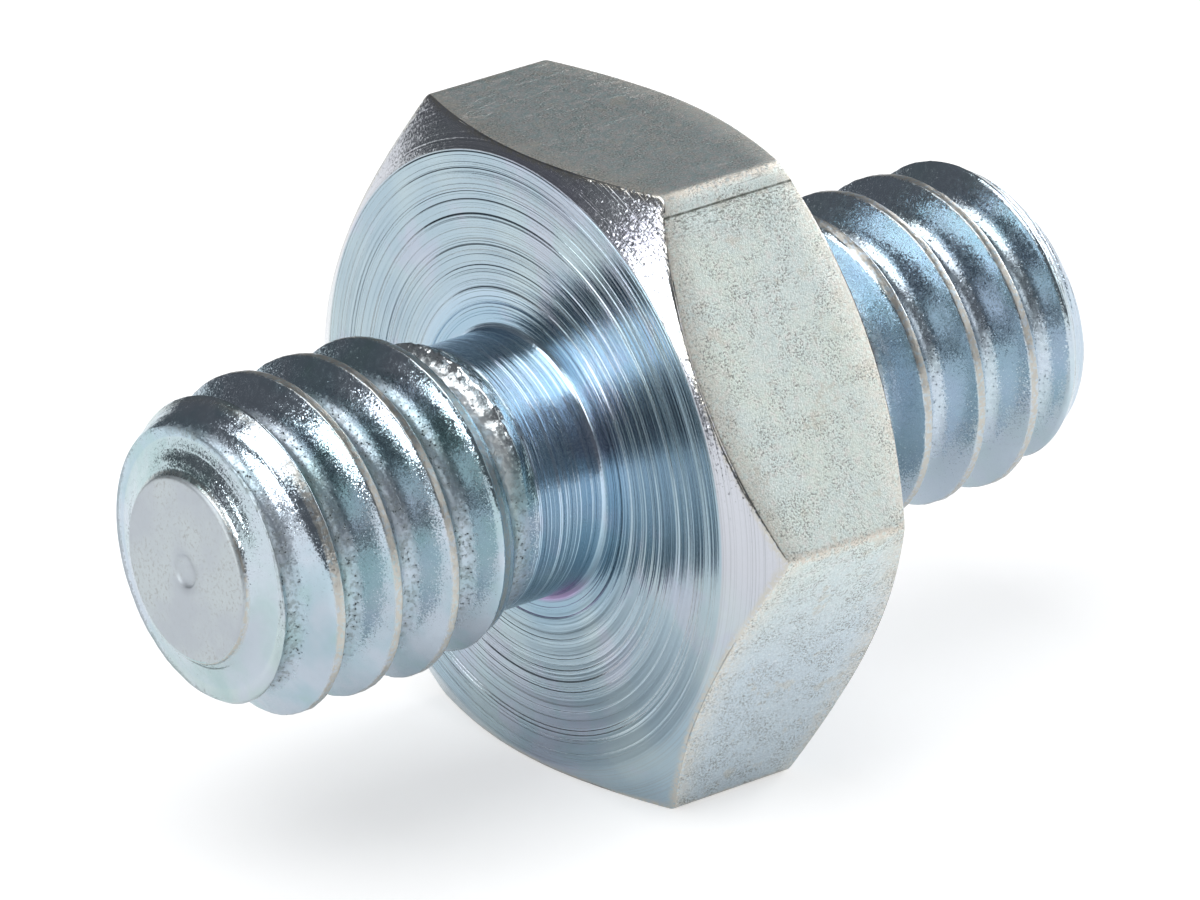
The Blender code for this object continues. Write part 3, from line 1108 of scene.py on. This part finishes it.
def parted_finish():
    material, tree, shader = new_finish("zinc_parted")
    place = place_on_axis(tree)
    broad = grain(tree, place, 900, 3.0, 0.6)
    colour = mixed(tree, between(tree, broad, 0.35, 0.65), END_BLUE, END_PALE)
    speck = grain(tree, place, 14000, 5.0, 0.75)
    crowd = between(tree, broad, 0.42, 0.6, 0.15, 1.0)
    specks = times(tree, between(tree, speck, 0.52, 0.62), crowd)
    colour = mixed(tree, times(tree, specks, 0.5), colour, END_SPECK)
    tree.links.new(colour, shader.inputs["Base Color"])
    shader.inputs["Roughness"].default_value = END_ROUGHNESS
    tree.links.new(bumped(tree, speck, 0.00001, None, 0.5), shader.inputs["Normal"])
    return material


# %% [markdown]
# ## Which face gets which finish
#
# A machinist could tell from a face's place which tool made it, and so can the script: end face, thread,
# flat, and all the rest is turned. One mesh with four material slots keeps the part one piece.

# %% Give each face its finish
TURNED, THREADED, DRAWN, PARTED = range(4)
FLAT_NORMAL = 0.3


def finish_of(face):
    x, _, radius, _ = stud_place(face.center)
    if x > LEAD_X + BOSS_HEIGHT * 0.8 and radius < BOSS_RADIUS:
        return PARTED
    if x > NECK_END:
        return THREADED
    if radius > FACE_RADIUS and abs(face.normal.x) < FLAT_NORMAL:
        return DRAWN
    return TURNED


for material in (turned_finish(), thread_finish(), drawn_finish(), parted_finish()):
    adapter.data.materials.append(material)
for face in adapter.data.polygons:
    face.material_index = finish_of(face)
print("nodes by finish:", [(made.name, len(made.node_tree.nodes)) for made in adapter.data.materials])
slots = [face.material_index for face in adapter.data.polygons]
print("faces by finish:", [slots.count(slot) for slot in (TURNED, THREADED, DRAWN, PARTED)])

# %% [markdown]
# ## Floor
#
# The part lies on a plain white sheet. The sheet's own colour is nearly white under these lamps. What
# the camera and a mirror see of it gets a little light of its own, so the open sheet comes out white and
# still keeps the soft shadow.

# %% Floor
CAMERA_GLOW = 0.57
MIRROR_GLOW = 0.2
CAMERA_COLOUR = 0.6
MIRROR_COLOUR = 0.95
BOUNCE_COLOUR = 0.9
FLOOR_REACH = 2.0
bm = bmesh.new()
bmesh.ops.create_grid(bm, x_segments=1, y_segments=1, size=FLOOR_REACH)
floor = new_piece("floor", bm)
sheet = bpy.data.materials.new("white_sheet")
sheet.use_nodes = True
tree = sheet.node_tree
shader = tree.nodes["Principled BSDF"]
shader.inputs["Roughness"].default_value = 0.9
shader.inputs["Specular IOR Level"].default_value = 0.0
shader.inputs["Emission Color"].default_value = (1, 1, 1, 1)
light_path = tree.nodes.new("ShaderNodeLightPath")
in_mirror = maths(
    tree, "MAXIMUM", light_path.outputs["Is Glossy Ray"], light_path.outputs["Is Transmission Ray"]
)
in_camera = light_path.outputs["Is Camera Ray"]
glow = maths(tree, "ADD", times(tree, in_mirror, MIRROR_GLOW), times(tree, in_camera, CAMERA_GLOW))
tree.links.new(glow, shader.inputs["Emission Strength"])
colour = mixed(tree, in_mirror, (BOUNCE_COLOUR,) * 3, (MIRROR_COLOUR,) * 3)
colour = mixed(tree, in_camera, colour, (CAMERA_COLOUR,) * 3)
tree.links.new(colour, shader.inputs["Base Color"])
floor.data.materials.append(sheet)
print("sheet from the middle to its edge, m:", FLOOR_REACH)

# %% [markdown]
# ## Studio
#
# Metal shows its surroundings, so the room is part of the look. A big softbox overhead gives most of the
# light. A small one low on the left draws the bright bands on the front thread, one on the right does the
# same for the rear one, and a pale card at the front right whitens the flat that faces it. The rest of
# the room is a dark grey, which the polished walls of the grooves show as dark lines.

# %% Lights and world
ROOM_GREY = (0.12, 0.125, 0.135, 1)
LAMP_DISTANCE = 0.6
LAMPS = (
    ("overhead", (-0.35, 0.0, 0.85), 0.5, 0.5, 3.0),
    ("left_box", (-0.95, 0.05, 0.3), 0.25, 0.16, 7.0),
    ("front_card", (0.56, -0.70, 0.46), 0.4, 0.3, 1.15),
    ("right_box", (0.88, 0.1, 0.42), 0.5, 0.3, 6.0),
)
world = bpy.data.worlds.new("studio")
bpy.context.scene.world = world
world.use_nodes = True
world.node_tree.nodes["Background"].inputs["Color"].default_value = ROOM_GREY


def softbox(name, towards, size_x, size_y, radiance):
    """An area lamp in a direction from the part, facing it."""
    data = bpy.data.lights.new(name, "AREA")
    data.shape = "RECTANGLE"
    data.size = size_x
    data.size_y = size_y
    data.energy = radiance * pi * size_x * size_y
    lamp = bpy.data.objects.new(name, data)
    place = Vector(towards).normalized() * LAMP_DISTANCE
    turn = place.to_track_quat("Z", "Y").to_matrix().to_4x4()
    lamp.matrix_world = Matrix.Translation(place + Vector((0, 0, AXIS_Z))) @ turn
    bpy.context.collection.objects.link(lamp)


for lamp_row in LAMPS:
    softbox(*lamp_row)
print("lamps:", [row[0] for row in LAMPS])

# %% [markdown]
# ## Camera
#
# The camera was fitted to points on the outline of the part: corners of the hexagon, the neck, the end
# face and the crests. It stands about 20 centimetres away with a long lens and looks down by 23 degrees,
# rolled by about one degree.

# %% Camera
SENSOR_WIDTH = 36
FOCAL_LENGTH = 324.65
CLIP_START = 0.01
CAMERA_PLACE = Vector((-0.111689, -0.144632, 0.07626 + AXIS_Z))
CAMERA_FORWARD = Vector((0.56304, 0.73043, -0.38659))
CAMERA_ROLL = radians(-1.18)
camera_data = bpy.data.cameras.new("camera")
camera = bpy.data.objects.new("camera", camera_data)
bpy.context.collection.objects.link(camera)
camera_data.sensor_width = SENSOR_WIDTH
camera_data.lens = FOCAL_LENGTH
camera_data.clip_start = CLIP_START
turn = CAMERA_FORWARD.normalized().to_track_quat("-Z", "Y").to_matrix().to_4x4()
roll = Matrix.Rotation(CAMERA_ROLL, 4, "Z")
camera.matrix_world = Matrix.Translation(CAMERA_PLACE) @ turn @ roll
bpy.context.scene.camera = camera
bpy.context.scene.view_settings.view_transform = "Standard"
print("camera distance, mm:", round(1000 * (CAMERA_PLACE - Vector((0, 0, AXIS_Z))).length, 1))
